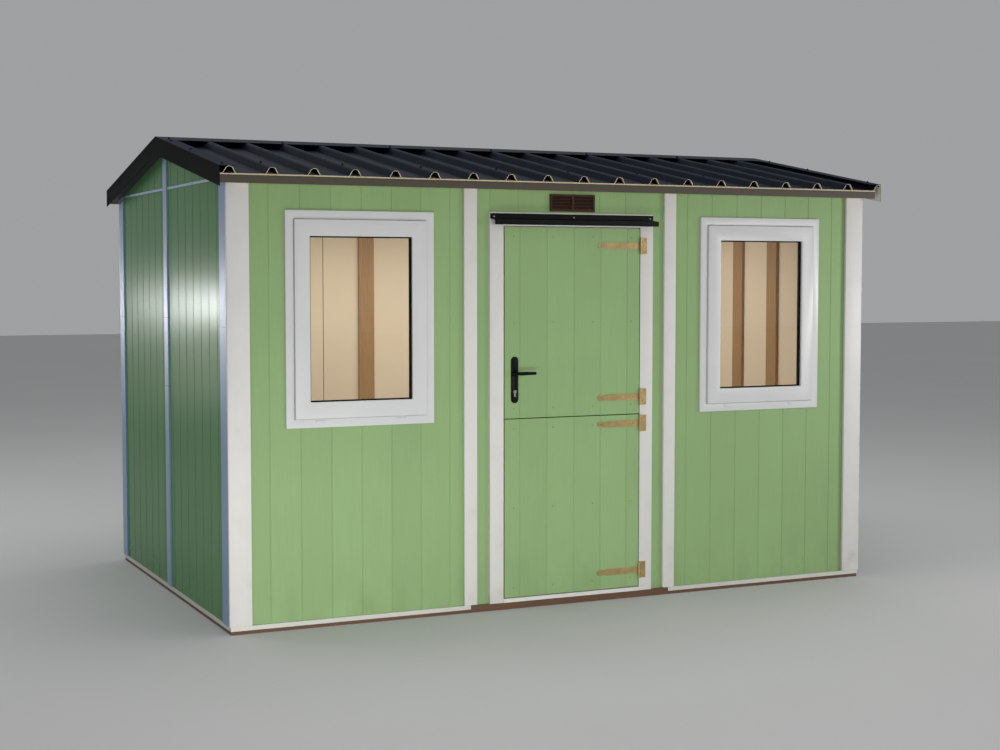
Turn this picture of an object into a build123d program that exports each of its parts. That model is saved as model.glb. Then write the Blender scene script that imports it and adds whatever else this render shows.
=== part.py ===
from build123d import *

import os
from math import cos, radians, sin, tan

# Garden office: three wall bays wide and two deep, a low double-pitched roof, one stable
# door between two windows. Millimetres, +Z up, the front faces -Y, the ridge runs along X.
# The origin is on the ground under the middle of the roof.

# Plan
bay_w = 1150.0
front_bays = 3
depth = 2300.0
side_panel_w = 1160.0  # front panel of each side wall, the rear one takes the rest

# Wall build-up
panel_t = 40.0
post_t = 45.0  # posts and plates stand this far off the panels
post_w = 90.0
stud_t = 20.0  # studs of the side and back walls, flat against the panels
stud_w = 100.0
side_stud_spaces = 6
back_studs = 6
cover_h = 8.0  # metal covers stand this far off the steel panels
trim_t = 20.0  # white boards on the front
clad_t = 14.0
fold_t = 2.0  # folded metal
joint_gap = 4.0  # between two panels, under a cover
base_t = 3.0
base_drop = 18.0
cut_over = 1.0  # openings and grooves are cut from this far outside a face

# Boards and flutes
groove_pitch = 155.0
groove_first = 115.0
groove_w = 8.0
groove_d = 2.5
flute_pitch = 147.0
flute_first = 105.0
flute_w = 8.0
flute_d = 1.2

# Floor
sole_h = 35.0
sole_w = 110.0
joist_w = 45.0
joist_pitch = 575.0
deck_t = 18.0

# Roof
eaves_z = 2160.0  # upper face of the insulated roof panel at its lower edge
pitch = radians(10.3)
eave_over = 89.0
side_over = 53.0
core_t = 40.0
roof_sheet_t = 1.5
rib_pitch = 204.3
rib_shift = 13.0  # the middle rib lies this far right of the middle
rib_h = 33.0
rib_base = 64.0
rib_top = 26.0
rib_chamfer = 6.0
panel_short = 38.0  # roof panels and eaves flashings stop short of the right barge
ridge_flange = 160.0
barge_h = 95.0
barge_flange = 75.0
eaves_return = 30.0
eaves_hem_h = 9.0
eaves_hem = 3.0  # folded hem stands this far off the eaves flashing
ridge_beam_w = 45.0
ridge_beam_h = 120.0
plate_h = 70.0
band_z = 2150.0  # joint between the side panels and the gable peaks
band_h = 12.0
band_proud = 4.0

# Covers and trims
corner_trim_w = 110.0
joint_cover_w = 70.0
angle_w = 105.0
strip_w = 80.0

# Windows
window_w = 762.0
window_h = 1038.0
window_top = 2003.0
frame_w = 43.0
frame_depth = 60.0
frame_proud = 12.0  # frame in front of the boards, and sash in front of the frame
frame_lip = 15.0
sash_stile_w = 76.0
sash_rail_h = 80.0
sash_depth = 55.0
sash_gap = 1.5
glass_t = 24.0
glass_cover = 10.0
glass_setback = 18.0

# Door
door_side_w = 105.0  # wall between the door frame and the joints of the bay
door_top = 2010.0
jamb_w = 76.0
head_h = 68.0
threshold_h = 20.0
board_t = 22.0  # boards of the leaves
ledge_t = 20.0  # ledges screwed to their backs
ledge_h = 76.0
ledge_inset = 10.0  # from the leaf ends and the door stops
leaf_gap = 5.0
leaf_split = 970.0
stop_w = 15.0

# T-hinges: insets of their middles from the leaf ends
top_leaf_insets = (90.0, 88.0)
bottom_leaf_insets = (46.0, 86.0)
strap_len = 250.0
strap_h = 33.0
strap_t = 3.0
strap_tip_len = 48.0
strap_tip_h = 29.0
strap_neck_h = 18.0
strap_taper = 10.0
tee_w = 40.0
tee_h = 86.0
knuckle_r = 6.0
knuckle_gap = 1.0
pin_r = 3.0
pin_clear = 0.3
hinge_stand = 7.0  # pin centre in front of the leaf

# Lever handle and lock
handle_inset = 55.0  # from the free edge of the leaf
handle_z = 1200.0
plate_w = 41.0
handle_plate_h = 235.0
handle_plate_t = 3.0
handle_plate_drop = 33.0  # plate middle below the lever
lever_len = 105.0
lever_stand = 45.0
lever_neck_r = 9.0
lever_tip_r = 7.5
lever_sides = 8
spindle_r = 5.0
spindle_clear = 0.5
cylinder_drop = 93.0
cylinder_r = 8.5
cylinder_stem_w = 10.0
cylinder_h = 33.0
cylinder_proud = 3.0

# Weatherbar and vent
weatherbar_inset = 1.0  # short of the door frame's edges
weatherbar_top = 2004.0
weatherbar_h = 58.0
weatherbar_reach = 60.0
weatherbar_lip = 25.0
weatherbar_fall = 8.0
vent_w = 256.0
vent_h = 88.0
vent_z = 2062.0
vent_t = 12.0
vent_border = 10.0
vent_blades = 4
vent_bar_w = 14.0
vent_blade_gap = 1.0

# Derived places
wall_t = cover_h + panel_t + post_t
width = front_bays * bay_w + 2 * wall_t
half_x = width / 2
half_y = depth / 2
skin_x = half_x - cover_h  # outer face of the side panels
room_x = skin_x - panel_t  # inner face of the side panels
board_y = -half_y + trim_t  # face of the front boards
core_y = board_y + clad_t
room_y0 = board_y + panel_t  # inner face of the front wall
skin_y = half_y - cover_h  # outer face of the back wall
room_y1 = skin_y - panel_t
sole_y0 = -half_y + cover_h - base_t
wall_z = sole_h + base_t
deck_z = sole_h + deck_t
door_bay_x = bay_w / 2
door_x = door_bay_x - door_side_w
opening_x = door_x - jamb_w
leaf_x = opening_x - leaf_gap
head_z = door_top - head_h
window_sill = window_top - window_h
eave_y = half_y + eave_over
core_x = half_x + side_over - fold_t
core_span = (-core_x, core_x - panel_short)
ridge_z = eaves_z + eave_y * tan(pitch)
joint_y = board_y + side_panel_w
top_of_all = ridge_z + core_t + rib_h
front_xs = (-(half_x - wall_t), -door_bay_x, door_bay_x)  # left edges of the bays


def roof_under(y):
    """Height of the roof's underside at y."""
    return eaves_z - core_t / cos(pitch) + (eave_y - abs(y)) * tan(pitch)


def block(x, y, z, mode=Mode.ADD):
    """Plain box from its limits along X, Y and Z."""
    with Locations((x[0], y[0], z[0])):
        Box(x[1] - x[0], y[1] - y[0], z[1] - z[0], align=(Align.MIN,) * 3, mode=mode)


def side_profile(points, x, mode=Mode.ADD):
    """Outline in Y and Z, extruded between two places along X."""
    with BuildSketch(Plane.YZ.offset(x[0])) as outline:
        with BuildLine():
            Polyline(*points, close=True)
        make_face()
    extrude(outline.sketch, amount=x[1] - x[0], mode=mode)


def up_to_roof(x, y, z):
    """Upright slab whose top follows the roof's underside."""
    top = [(y[0], roof_under(y[0])), (y[1], roof_under(y[1]))]
    if y[0] < 0 < y[1]:
        top.insert(1, (0, roof_under(0)))
    side_profile([(y[1], z), (y[0], z), *top], x)


def board_grooves(face_y, bay_x, x):
    """V-grooves of one bay's boards between two places along X."""
    count = int((bay_w - groove_first) / groove_pitch) + 1
    places = [bay_x + groove_first + i * groove_pitch for i in range(count)]
    places = [place for place in places if x[0] + groove_w < place < x[1] - groove_w]
    with BuildSketch(Plane.XY) as vees:
        with Locations(*[(place, face_y) for place in places]):
            Polygon(
                (-groove_w / 2, -cut_over), (groove_w / 2, -cut_over), (groove_w / 2, 0),
                (0, groove_d), (-groove_w / 2, 0), align=None,
            )
    extrude(vees.sketch, amount=top_of_all, mode=Mode.SUBTRACT)


def flutes(plane, places):
    """Shallow flutes up a steel panel, on a plane whose normal leaves its face."""
    with BuildSketch(plane) as lines:
        with Locations(*[(place, top_of_all / 2) for place in places]):
            Rectangle(flute_w, top_of_all)
    extrude(lines.sketch, amount=-flute_d, mode=Mode.SUBTRACT)


def window_openings(y):
    """Holes for the windows in the outer bays."""
    for bay in (-1, 1):
        middle = bay * bay_w
        block(
            (middle - window_w / 2, middle + window_w / 2), y,
            (window_sill, window_top), mode=Mode.SUBTRACT,
        )


pieces = {}

# Sole timbers on the ground, floor joists between them and the deck on top
with BuildPart() as sole_frame:
    block((-skin_x, skin_x), (sole_y0, skin_y), (0, sole_h))
    block(
        (-skin_x + sole_w, skin_x - sole_w), (sole_y0 + sole_w, skin_y - sole_w), (0, sole_h),
        mode=Mode.SUBTRACT,
    )
pieces["sole_frame"] = sole_frame

with BuildPart() as floor_joists:
    count = int((skin_x - sole_w - joist_w) / joist_pitch)
    for i in range(-count, count + 1):
        x = i * joist_pitch
        block(
            (x - joist_w / 2, x + joist_w / 2), (sole_y0 + sole_w, skin_y - sole_w), (0, sole_h)
        )
pieces["floor_joists"] = floor_joists

with BuildPart() as floor_deck:
    block((-room_x, room_x), (room_y0, room_y1), (sole_h, deck_z))
pieces["floor_deck"] = floor_deck

# Pale drip flashings under the walls
with BuildPart() as base_flashings:
    for side in (-1, 1):
        outer = sorted((side * (skin_x + base_t), side * door_bay_x))
        inner = sorted((side * room_x, side * door_bay_x))
        block(outer, (sole_y0 - base_t, board_y), (sole_h, wall_z))
        block(inner, (board_y, room_y0), (sole_h, wall_z))
        block(outer, (sole_y0 - base_t, sole_y0), (wall_z - base_t - base_drop, sole_h))
    block((-room_x, room_x), (room_y1, skin_y + base_t), (sole_h, wall_z))
    block(
        (-room_x, room_x), (skin_y, skin_y + base_t), (wall_z - base_t - base_drop, sole_h)
    )
pieces["base_flashings"] = base_flashings

with BuildPart() as side_base_flashings:
    for side in (-1, 1):
        leg = sorted((side * room_x, side * (skin_x + base_t)))
        drip = sorted((side * skin_x, side * (skin_x + base_t)))
        block(leg, (board_y, skin_y), (sole_h, wall_z))
        block(drip, (board_y, skin_y), (wall_z - base_t - base_drop, sole_h))
pieces["side_base_flashings"] = side_base_flashings

# Front walls of the two window bays: V-jointed boards on an insulated lining
for side, name in ((-1, "left"), (1, "right")):
    span = sorted((side * room_x, side * door_bay_x))
    with BuildPart() as front_cladding:
        up_to_roof(span, (board_y, core_y), wall_z)
        window_openings((board_y - cut_over, core_y + cut_over))
        board_grooves(board_y, front_xs[1 + side], span)
    pieces[f"front_cladding_{name}"] = front_cladding
    with BuildPart() as front_wall:
        up_to_roof(span, (core_y, room_y0), wall_z)
        window_openings((core_y - cut_over, room_y0 + cut_over))
    pieces[f"front_wall_{name}"] = front_wall

# Door bay: narrow strips beside the door and a head above it
vent_hole_x = vent_w / 2 - vent_border
vent_hole_z = (vent_z - vent_h / 2 + vent_border, vent_z + vent_h / 2 - vent_border)
with BuildPart() as door_bay_cladding_sides:
    for side in (-1, 1):
        up_to_roof(sorted((side * door_x, side * door_bay_x)), (board_y, core_y), sole_h)
pieces["door_bay_cladding_sides"] = door_bay_cladding_sides

with BuildPart() as door_bay_cladding_head:
    up_to_roof((-door_x, door_x), (board_y, core_y), door_top)
    block(
        (-vent_hole_x, vent_hole_x), (board_y - cut_over, core_y + cut_over), vent_hole_z,
        Mode.SUBTRACT,
    )
    board_grooves(board_y, front_xs[1], (-door_x, door_x))
pieces["door_bay_cladding_head"] = door_bay_cladding_head

with BuildPart() as door_bay_wall_sides:
    for side in (-1, 1):
        up_to_roof(sorted((side * door_x, side * door_bay_x)), (core_y, room_y0), sole_h)
pieces["door_bay_wall_sides"] = door_bay_wall_sides

with BuildPart() as door_bay_wall_head:
    up_to_roof((-door_x, door_x), (core_y, room_y0), door_top)
    block(
        (-vent_hole_x, vent_hole_x), (core_y - cut_over, room_y0 + cut_over), vent_hole_z,
        Mode.SUBTRACT,
    )
pieces["door_bay_wall_head"] = door_bay_wall_head

# Side walls and gable peaks: steel panels with upright flutes, split over a band
front_flutes = int((side_panel_w - flute_first - angle_w) / flute_pitch) + 1
rear_flutes = int((skin_y - joint_y - flute_first - angle_w) / flute_pitch) + 1
side_flutes = [joint_y - flute_first - i * flute_pitch for i in range(front_flutes)]
side_flutes += [joint_y + flute_first + i * flute_pitch for i in range(rear_flutes)]
for side, name in ((-1, "left"), (1, "right")):
    span = sorted((side * room_x, side * skin_x))
    face = Plane(origin=(side * skin_x, 0, 0), x_dir=(0, 1, 0), z_dir=(1, 0, 0))
    if side < 0:
        face = Plane(origin=(-skin_x, 0, 0), x_dir=(0, -1, 0), z_dir=(-1, 0, 0))
    for level, low, high in (("wall", wall_z, band_z), ("peak", band_z, top_of_all)):
        with BuildPart() as gable:
            up_to_roof(span, (board_y, joint_y - joint_gap / 2), wall_z)
            up_to_roof(span, (joint_y + joint_gap / 2, skin_y), wall_z)
            if level == "wall":
                block(span, (-half_y, half_y), (band_z, top_of_all), Mode.SUBTRACT)
            else:
                block(span, (-half_y, half_y), (0, band_z + fold_t), Mode.SUBTRACT)
            flutes(face, [side * place for place in side_flutes])
        pieces[f"side_wall_{name}" if level == "wall" else f"gable_peak_{name}"] = gable

# Back wall: three steel panels
with BuildPart() as back_wall:
    up_to_roof((-room_x, -door_bay_x - joint_gap / 2), (room_y1, skin_y), wall_z)
    half_panel = bay_w / 2 - joint_gap / 2
    up_to_roof((-half_panel, half_panel), (room_y1, skin_y), wall_z)
    up_to_roof((door_bay_x + joint_gap / 2, room_x), (room_y1, skin_y), wall_z)
    back_count = int((bay_w - 2 * flute_first) / flute_pitch) + 1
    back_flutes = [
        (i - (back_count - 1) / 2) * flute_pitch + bay * bay_w
        for bay in (-1, 0, 1)
        for i in range(back_count)
    ]
    flutes(Plane(origin=(0, skin_y, 0), x_dir=(-1, 0, 0), z_dir=(0, 1, 0)), back_flutes)
pieces["back_wall"] = back_wall

# Timber frame inside the panels
plate_z0 = roof_under(room_y0) - plate_h
with BuildPart() as corner_posts:
    for side in (-1, 1):
        leg = sorted((side * (room_x - post_t), side * room_x))
        block(leg, (room_y0, room_y0 + post_t), (deck_z, plate_z0))
        block(leg, (room_y1 - post_t, room_y1), (deck_z, roof_under(room_y1) - plate_h))
pieces["corner_posts"] = corner_posts

half_post = post_w / 2
half_stud = stud_w / 2
with BuildPart() as wall_posts:
    for middle in (-door_bay_x, door_bay_x):
        block(
            (middle - half_post, middle + half_post), (room_y0, room_y0 + post_t),
            (deck_z, plate_z0),
        )
    for side in (-1, 1):
        leg = sorted((side * (room_x - stud_t), side * room_x))
        for i in range(1, side_stud_spaces):
            y = room_y0 + (room_y1 - room_y0) * i / side_stud_spaces
            near, far = y - half_stud, y + half_stud
            if near < 0 < far:
                block(leg, (near, far), (deck_z, roof_under(0) - ridge_beam_h))
            else:
                side_profile(
                    [
                        (far, deck_z), (near, deck_z), (near, roof_under(near) - plate_h),
                        (far, roof_under(far) - plate_h),
                    ],
                    leg,
                )
    for i in range(back_studs):
        x = room_x * ((2 * i + 1) / back_studs - 1)
        block(
            (x - half_stud, x + half_stud), (room_y1 - stud_t, room_y1),
            (deck_z, roof_under(room_y1) - plate_h),
        )
pieces["wall_posts"] = wall_posts

with BuildPart() as wall_plates:
    for y in ((room_y0, room_y0 + post_t), (room_y1 - post_t, room_y1)):
        low = roof_under(max(abs(y[0]), abs(y[1]))) - plate_h
        up_to_roof((-room_x, room_x), y, low)
pieces["wall_plates"] = wall_plates

with BuildPart() as ridge_beam:
    half = ridge_beam_w / 2
    up_to_roof((-room_x, room_x), (-half, half), roof_under(0) - ridge_beam_h)
pieces["ridge_beam"] = ridge_beam

with BuildPart() as gable_rafters:
    for side in (-1, 1):
        for y in (
            (room_y0 + post_t, -ridge_beam_w / 2),
            (ridge_beam_w / 2, room_y1 - post_t),
        ):
            side_profile(
                [
                    (y[0], roof_under(y[0]) - plate_h), (y[1], roof_under(y[1]) - plate_h),
                    (y[1], roof_under(y[1])), (y[0], roof_under(y[0])),
                ],
                sorted((side * (room_x - post_t), side * room_x)),
            )
pieces["gable_rafters"] = gable_rafters

# White boards on the front
with BuildPart() as corner_trims:
    for side in (-1, 1):
        span = sorted((side * (half_x - corner_trim_w), side * half_x))
        up_to_roof(span, (-half_y, board_y - fold_t), wall_z)
pieces["corner_trims"] = corner_trims

with BuildPart() as joint_covers:
    for side in (-1, 1):
        middle = side * door_bay_x
        span = (middle - joint_cover_w / 2, middle + joint_cover_w / 2)
        up_to_roof(span, (-half_y, board_y), wall_z)
pieces["joint_covers"] = joint_covers

# Metal covers: angles at the corners, shallow channels over the panel joints
with BuildPart() as corner_angles:
    for side in (-1, 1):
        face = sorted((side * half_x, side * (half_x - fold_t)))
        edge = sorted((side * half_x, side * skin_x))
        front = -half_y + trim_t - fold_t
        up_to_roof(face, (front, front + angle_w), wall_z)
        up_to_roof(edge, (front + angle_w - fold_t, front + angle_w), wall_z)
        leg = sorted((side * half_x, side * (half_x - corner_trim_w + fold_t)))
        up_to_roof(leg, (front, board_y), wall_z)
        up_to_roof(face, (half_y - angle_w, half_y), wall_z)
        up_to_roof(edge, (half_y - angle_w, half_y - angle_w + fold_t), wall_z)
        rear_leg = sorted((side * half_x, side * (half_x - angle_w)))
        up_to_roof(rear_leg, (half_y - fold_t, half_y), wall_z)
        rear_edge = sorted(
            (side * (half_x - angle_w), side * (half_x - angle_w + fold_t))
        )
        up_to_roof(rear_edge, (skin_y, half_y), wall_z)
pieces["corner_angles"] = corner_angles

with BuildPart() as joint_strips:
    for side in (-1, 1):
        face = sorted((side * half_x, side * (half_x - fold_t)))
        edge = sorted((side * half_x, side * skin_x))
        low, high = joint_y - strip_w / 2, joint_y + strip_w / 2
        up_to_roof(face, (low, high), wall_z)
        up_to_roof(edge, (low, low + fold_t), wall_z)
        up_to_roof(edge, (high - fold_t, high), wall_z)
        middle = side * door_bay_x
        low, high = middle - strip_w / 2, middle + strip_w / 2
        up_to_roof((low, high), (half_y - fold_t, half_y), wall_z)
        up_to_roof((low, low + fold_t), (skin_y, half_y), wall_z)
        up_to_roof((high - fold_t, high), (skin_y, half_y), wall_z)
pieces["joint_strips"] = joint_strips

# Bands between the side walls and the peaks, each in two lengths beside the joint strip
band_end = eave_y - (band_z + band_h - roof_under(eave_y)) / tan(pitch)
with BuildPart() as gable_bands:
    for side in (-1, 1):
        tongue = sorted((side * room_x, side * skin_x))
        lip = sorted((side * skin_x, side * (skin_x + band_proud)))
        for y in (
            (-band_end, joint_y - strip_w / 2),
            (joint_y + strip_w / 2, band_end),
        ):
            block(tongue, y, (band_z, band_z + fold_t))
            block(lip, y, (band_z - band_h / 2, band_z + band_h / 2))
pieces["gable_bands"] = gable_bands

# Windows
frame_face = board_y - frame_proud
sash_face = frame_face - frame_proud
sash_outer_w = window_w - 2 * frame_w
sash_outer_h = window_h - 2 * frame_w
window_mid_z = window_sill + window_h / 2


def ring(y, outer_w, outer_h, inner_w, inner_h):
    """Upright rectangular ring in each window bay between two places along Y."""
    with BuildSketch(Plane.XZ.offset(-y[0])) as shape:
        with Locations((-bay_w, window_mid_z), (bay_w, window_mid_z)):
            Rectangle(outer_w, outer_h)
            if inner_w > 0:
                Rectangle(inner_w, inner_h, mode=Mode.SUBTRACT)
    extrude(shape.sketch, amount=-(y[1] - y[0]))


with BuildPart() as window_frames:
    opening_w = sash_outer_w + 2 * sash_gap
    opening_h = sash_outer_h + 2 * sash_gap
    sash_back = sash_face + sash_depth
    ring((frame_face, sash_back), window_w, window_h, opening_w, opening_h)
    ring(
        (sash_back, frame_face + frame_depth), window_w, window_h,
        opening_w - 2 * frame_lip, opening_h - 2 * frame_lip,
    )
pieces["window_frames"] = window_frames

glass_y0 = sash_face + glass_setback
glass_w = sash_outer_w - 2 * sash_stile_w
glass_h = sash_outer_h - 2 * sash_rail_h
pane_w = glass_w + 2 * glass_cover
pane_h = glass_h + 2 * glass_cover
with BuildPart() as window_sashes:
    ring((sash_face, glass_y0), sash_outer_w, sash_outer_h, glass_w, glass_h)
    ring((glass_y0, glass_y0 + glass_t), sash_outer_w, sash_outer_h, pane_w, pane_h)
    ring((glass_y0 + glass_t, sash_face + sash_depth), sash_outer_w, sash_outer_h, glass_w, glass_h)
pieces["window_sashes"] = window_sashes

with BuildPart() as window_glass:
    ring((glass_y0, glass_y0 + glass_t), pane_w, pane_h, 0, 0)
pieces["window_glass"] = window_glass

# Door frame, rebated for the leaves
stop_y = -half_y + board_t + leaf_gap
with BuildPart() as door_jambs:
    for side in (-1, 1):
        block(sorted((side * opening_x, side * door_x)), (-half_y, room_y0), (sole_h, door_top))
        block(
            sorted((side * (opening_x - stop_w), side * opening_x)), (stop_y, room_y0),
            (sole_h + threshold_h, head_z),
        )
pieces["door_jambs"] = door_jambs

with BuildPart() as door_head:
    block((-opening_x, opening_x), (-half_y, room_y0), (head_z, door_top))
    block(
        (-opening_x + stop_w, opening_x - stop_w), (stop_y, room_y0), (head_z - stop_w, head_z)
    )
pieces["door_head"] = door_head

with BuildPart() as door_threshold:
    block((-opening_x, opening_x), (-half_y, room_y0), (sole_h, sole_h + threshold_h))
pieces["door_threshold"] = door_threshold

# Door leaves, boards with three ledges behind them
board_back = -half_y + board_t
ledge_x = opening_x - stop_w - ledge_inset
handle_x = -leaf_x + handle_inset
cylinder_z = handle_z - cylinder_drop
bottom_leaf_z = (sole_h + threshold_h + leaf_gap, leaf_split - leaf_gap / 2)
top_leaf_z = (leaf_split + leaf_gap / 2, head_z - leaf_gap)


def cylinder_outline(grow):
    """Lock cylinder seen from the front, round above a narrow stem."""
    stem = cylinder_h - cylinder_r
    with Locations((handle_x, cylinder_z)):
        Circle(cylinder_r + grow)
    with Locations((handle_x, cylinder_z - stem / 2)):
        Rectangle(cylinder_stem_w + 2 * grow, stem + 2 * grow)


def boards(z):
    """Boards of a leaf between two heights."""
    block((-leaf_x, leaf_x), (-half_y, board_back), z)
    board_grooves(-half_y, front_xs[1], (-leaf_x, leaf_x))


def ledge(x0, z):
    """Ledge across the back of a leaf, from its lower edge."""
    block((x0, ledge_x), (board_back, board_back + ledge_t), (z, z + ledge_h))


with BuildPart() as door_bottom_leaf:
    boards(bottom_leaf_z)
    ledge(-ledge_x, bottom_leaf_z[0] + ledge_inset)
    ledge(-ledge_x, (bottom_leaf_z[0] + bottom_leaf_z[1] - ledge_h) / 2)
    ledge(-ledge_x, bottom_leaf_z[1] - ledge_inset - ledge_h)
pieces["door_bottom_leaf"] = door_bottom_leaf

with BuildPart() as door_top_leaf:
    boards(top_leaf_z)
    ledge(handle_x + plate_w / 2 + ledge_inset, top_leaf_z[0] + ledge_inset)
    ledge(-ledge_x, (top_leaf_z[0] + top_leaf_z[1] - ledge_h) / 2)
    ledge(-ledge_x, top_leaf_z[1] - ledge_inset - ledge_h)
    with BuildSketch(Plane.XZ.offset(half_y)) as lock_holes:
        with Locations((handle_x, handle_z)):
            Circle(spindle_r + spindle_clear)
        cylinder_outline(0)
    extrude(lock_holes.sketch, amount=-board_t, mode=Mode.SUBTRACT)
pieces["door_top_leaf"] = door_top_leaf

# T-hinges: a tapered strap on the leaf, a plate with the pin on the jamb
hinge_x = opening_x - leaf_gap / 2
hinge_y = -half_y - hinge_stand
top_hinge_zs = (top_leaf_z[1] - top_leaf_insets[0], top_leaf_z[0] + top_leaf_insets[1])
bottom_hinge_zs = (
    bottom_leaf_z[1] - bottom_leaf_insets[0], bottom_leaf_z[0] + bottom_leaf_insets[1]
)


def strap(z):
    """Strap with a waisted, rounded tip and the middle knuckle."""
    neck_x = hinge_x - strap_len + strap_tip_len
    with BuildSketch(Plane.XZ.offset(half_y)) as flat:
        with BuildLine():
            Polyline(
                (hinge_x, z + strap_h / 2), (neck_x + strap_taper, z + strap_h / 2),
                (neck_x, z + strap_neck_h / 2), (neck_x - strap_taper, z + strap_neck_h / 2),
                (neck_x - strap_taper, z - strap_neck_h / 2), (neck_x, z - strap_neck_h / 2),
                (neck_x + strap_taper, z - strap_h / 2), (hinge_x, z - strap_h / 2), close=True,
            )
        make_face()
        with Locations((neck_x - strap_tip_len / 2, z)):
            SlotOverall(strap_tip_len, strap_tip_h)
    extrude(flat.sketch, amount=strap_t)
    with Locations((hinge_x, hinge_y, z)):
        Cylinder(knuckle_r, strap_h)
        Cylinder(pin_r + pin_clear, strap_h, mode=Mode.SUBTRACT)


def tee(z):
    """Jamb plate with two knuckles and the pin through them."""
    block((hinge_x, hinge_x + tee_w), (-half_y - strap_t, -half_y), (z - tee_h / 2, z + tee_h / 2))
    notch = strap_h / 2 + knuckle_gap
    reach = knuckle_r + knuckle_gap
    block(
        (hinge_x - reach, hinge_x + reach), (-half_y - strap_t, -half_y), (z - notch, z + notch),
        Mode.SUBTRACT,
    )
    knuckle_len = tee_h / 2 - notch
    for end in (-1, 1):
        with Locations((hinge_x, hinge_y, z + end * (notch + knuckle_len / 2))):
            Cylinder(knuckle_r, knuckle_len)
    with Locations((hinge_x, hinge_y, z)):
        Cylinder(pin_r, tee_h)


with BuildPart() as top_leaf_straps:
    for z in top_hinge_zs:
        strap(z)
pieces["top_leaf_straps"] = top_leaf_straps

with BuildPart() as bottom_leaf_straps:
    for z in bottom_hinge_zs:
        strap(z)
pieces["bottom_leaf_straps"] = bottom_leaf_straps

with BuildPart() as hinge_plates:
    for z in (*top_hinge_zs, *bottom_hinge_zs):
        tee(z)
pieces["hinge_plates"] = hinge_plates

# Lever handle on long plates, inside and outside
plate_faces = (-half_y - handle_plate_t, board_back)
with BuildPart() as handle_plates:
    for y in plate_faces:
        with BuildSketch(Plane.XZ.offset(-y)) as plate:
            with Locations((handle_x, handle_z - handle_plate_drop)):
                SlotOverall(handle_plate_h, plate_w, rotation=90)
            with Locations((handle_x, handle_z)):
                Circle(lever_neck_r + spindle_clear, mode=Mode.SUBTRACT)
        extrude(plate.sketch, amount=-handle_plate_t)
        with BuildSketch(Plane.XZ.offset(-y)) as keyway:
            cylinder_outline(0)
        extrude(keyway.sketch, amount=-handle_plate_t, mode=Mode.SUBTRACT)
pieces["handle_plates"] = handle_plates

lever_y0 = -half_y - handle_plate_t - lever_stand
lever_y1 = board_back + handle_plate_t + lever_stand
with BuildPart() as lever_handle:
    with BuildSketch(Plane.XZ.offset(-lever_y0)) as spindle:
        with Locations((handle_x, handle_z)):
            Circle(spindle_r)
    extrude(spindle.sketch, amount=-(lever_y1 - lever_y0))
    for y, inward in ((lever_y0, 1), (lever_y1, -1)):
        with BuildSketch(Plane.XZ.offset(-y)) as neck:
            with Locations((handle_x, handle_z)):
                Circle(lever_neck_r)
        extrude(neck.sketch, amount=-inward * (lever_stand + handle_plate_t - spindle_clear))
        arm_y = y + inward * lever_neck_r
        with BuildSketch(Plane.YZ.offset(handle_x)) as root:
            with Locations((arm_y, handle_z)):
                RegularPolygon(lever_neck_r, lever_sides)
        with BuildSketch(Plane.YZ.offset(handle_x + lever_len)) as tip:
            with Locations((arm_y, handle_z)):
                RegularPolygon(lever_tip_r, lever_sides)
        loft([root.sketch, tip.sketch])
pieces["lever_handle"] = lever_handle

with BuildPart() as lock_cylinder:
    cylinder_y0 = -half_y - handle_plate_t - cylinder_proud
    cylinder_y1 = board_back + handle_plate_t + cylinder_proud
    with BuildSketch(Plane.XZ.offset(-cylinder_y0)) as barrel:
        cylinder_outline(0)
    extrude(barrel.sketch, amount=-(cylinder_y1 - cylinder_y0))
pieces["lock_cylinder"] = lock_cylinder

# Weatherbar over the door and louvred vent above it
with BuildPart() as weatherbar:
    low = weatherbar_top - weatherbar_h
    lip_z = low + weatherbar_lip
    fold_z = lip_z + weatherbar_fall
    nose = -half_y - weatherbar_reach
    side_profile(
        [
            (-half_y, weatherbar_top), (-half_y - fold_t, weatherbar_top),
            (-half_y - fold_t, fold_z), (nose, lip_z), (nose, low), (nose + fold_t, low),
            (nose + fold_t, lip_z - fold_t), (-half_y, fold_z - fold_t),
        ],
        (-door_x + weatherbar_inset, door_x - weatherbar_inset),
    )
pieces["weatherbar"] = weatherbar

with BuildPart() as vent_grille:
    vent_low = vent_z - vent_h / 2
    block((-vent_w / 2, vent_w / 2), (board_y - vent_t, board_y), (vent_low, vent_low + vent_h))
    block(
        (-vent_hole_x, vent_hole_x), (board_y - vent_t, board_y), vent_hole_z, Mode.SUBTRACT
    )
    block((-vent_bar_w / 2, vent_bar_w / 2), (board_y - vent_t, board_y), vent_hole_z)
    blade_pitch = (vent_h - 2 * vent_border) / vent_blades
    for i in range(vent_blades):
        low = vent_hole_z[0] + i * blade_pitch + vent_blade_gap
        high = low + blade_pitch - 2 * vent_blade_gap
        side_profile(
            [
                (board_y - vent_t, low), (board_y - vent_t, low + fold_t),
                (board_y, high), (board_y, high - fold_t),
            ],
            (-vent_hole_x, vent_hole_x),
        )
pieces["vent_grille"] = vent_grille

# Roof: insulated panels, ribbed sheets on them, cap and flashings
rib_count = 2 * int(core_x / rib_pitch) + 1


def rib_outline(inset):
    """Cross-section of a rib, or of the hollow in it."""
    with BuildSketch(Plane.XY) as outline:
        Polygon(
            (-rib_base / 2 + 2 * inset, 0), (rib_base / 2 - 2 * inset, 0),
            (rib_top / 2 - inset, rib_h - inset), (-rib_top / 2 + inset, rib_h - inset),
            align=None,
        )
        chamfer(outline.vertices().group_by(Axis.Y)[-1], rib_chamfer - inset)
    return outline.sketch


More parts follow.
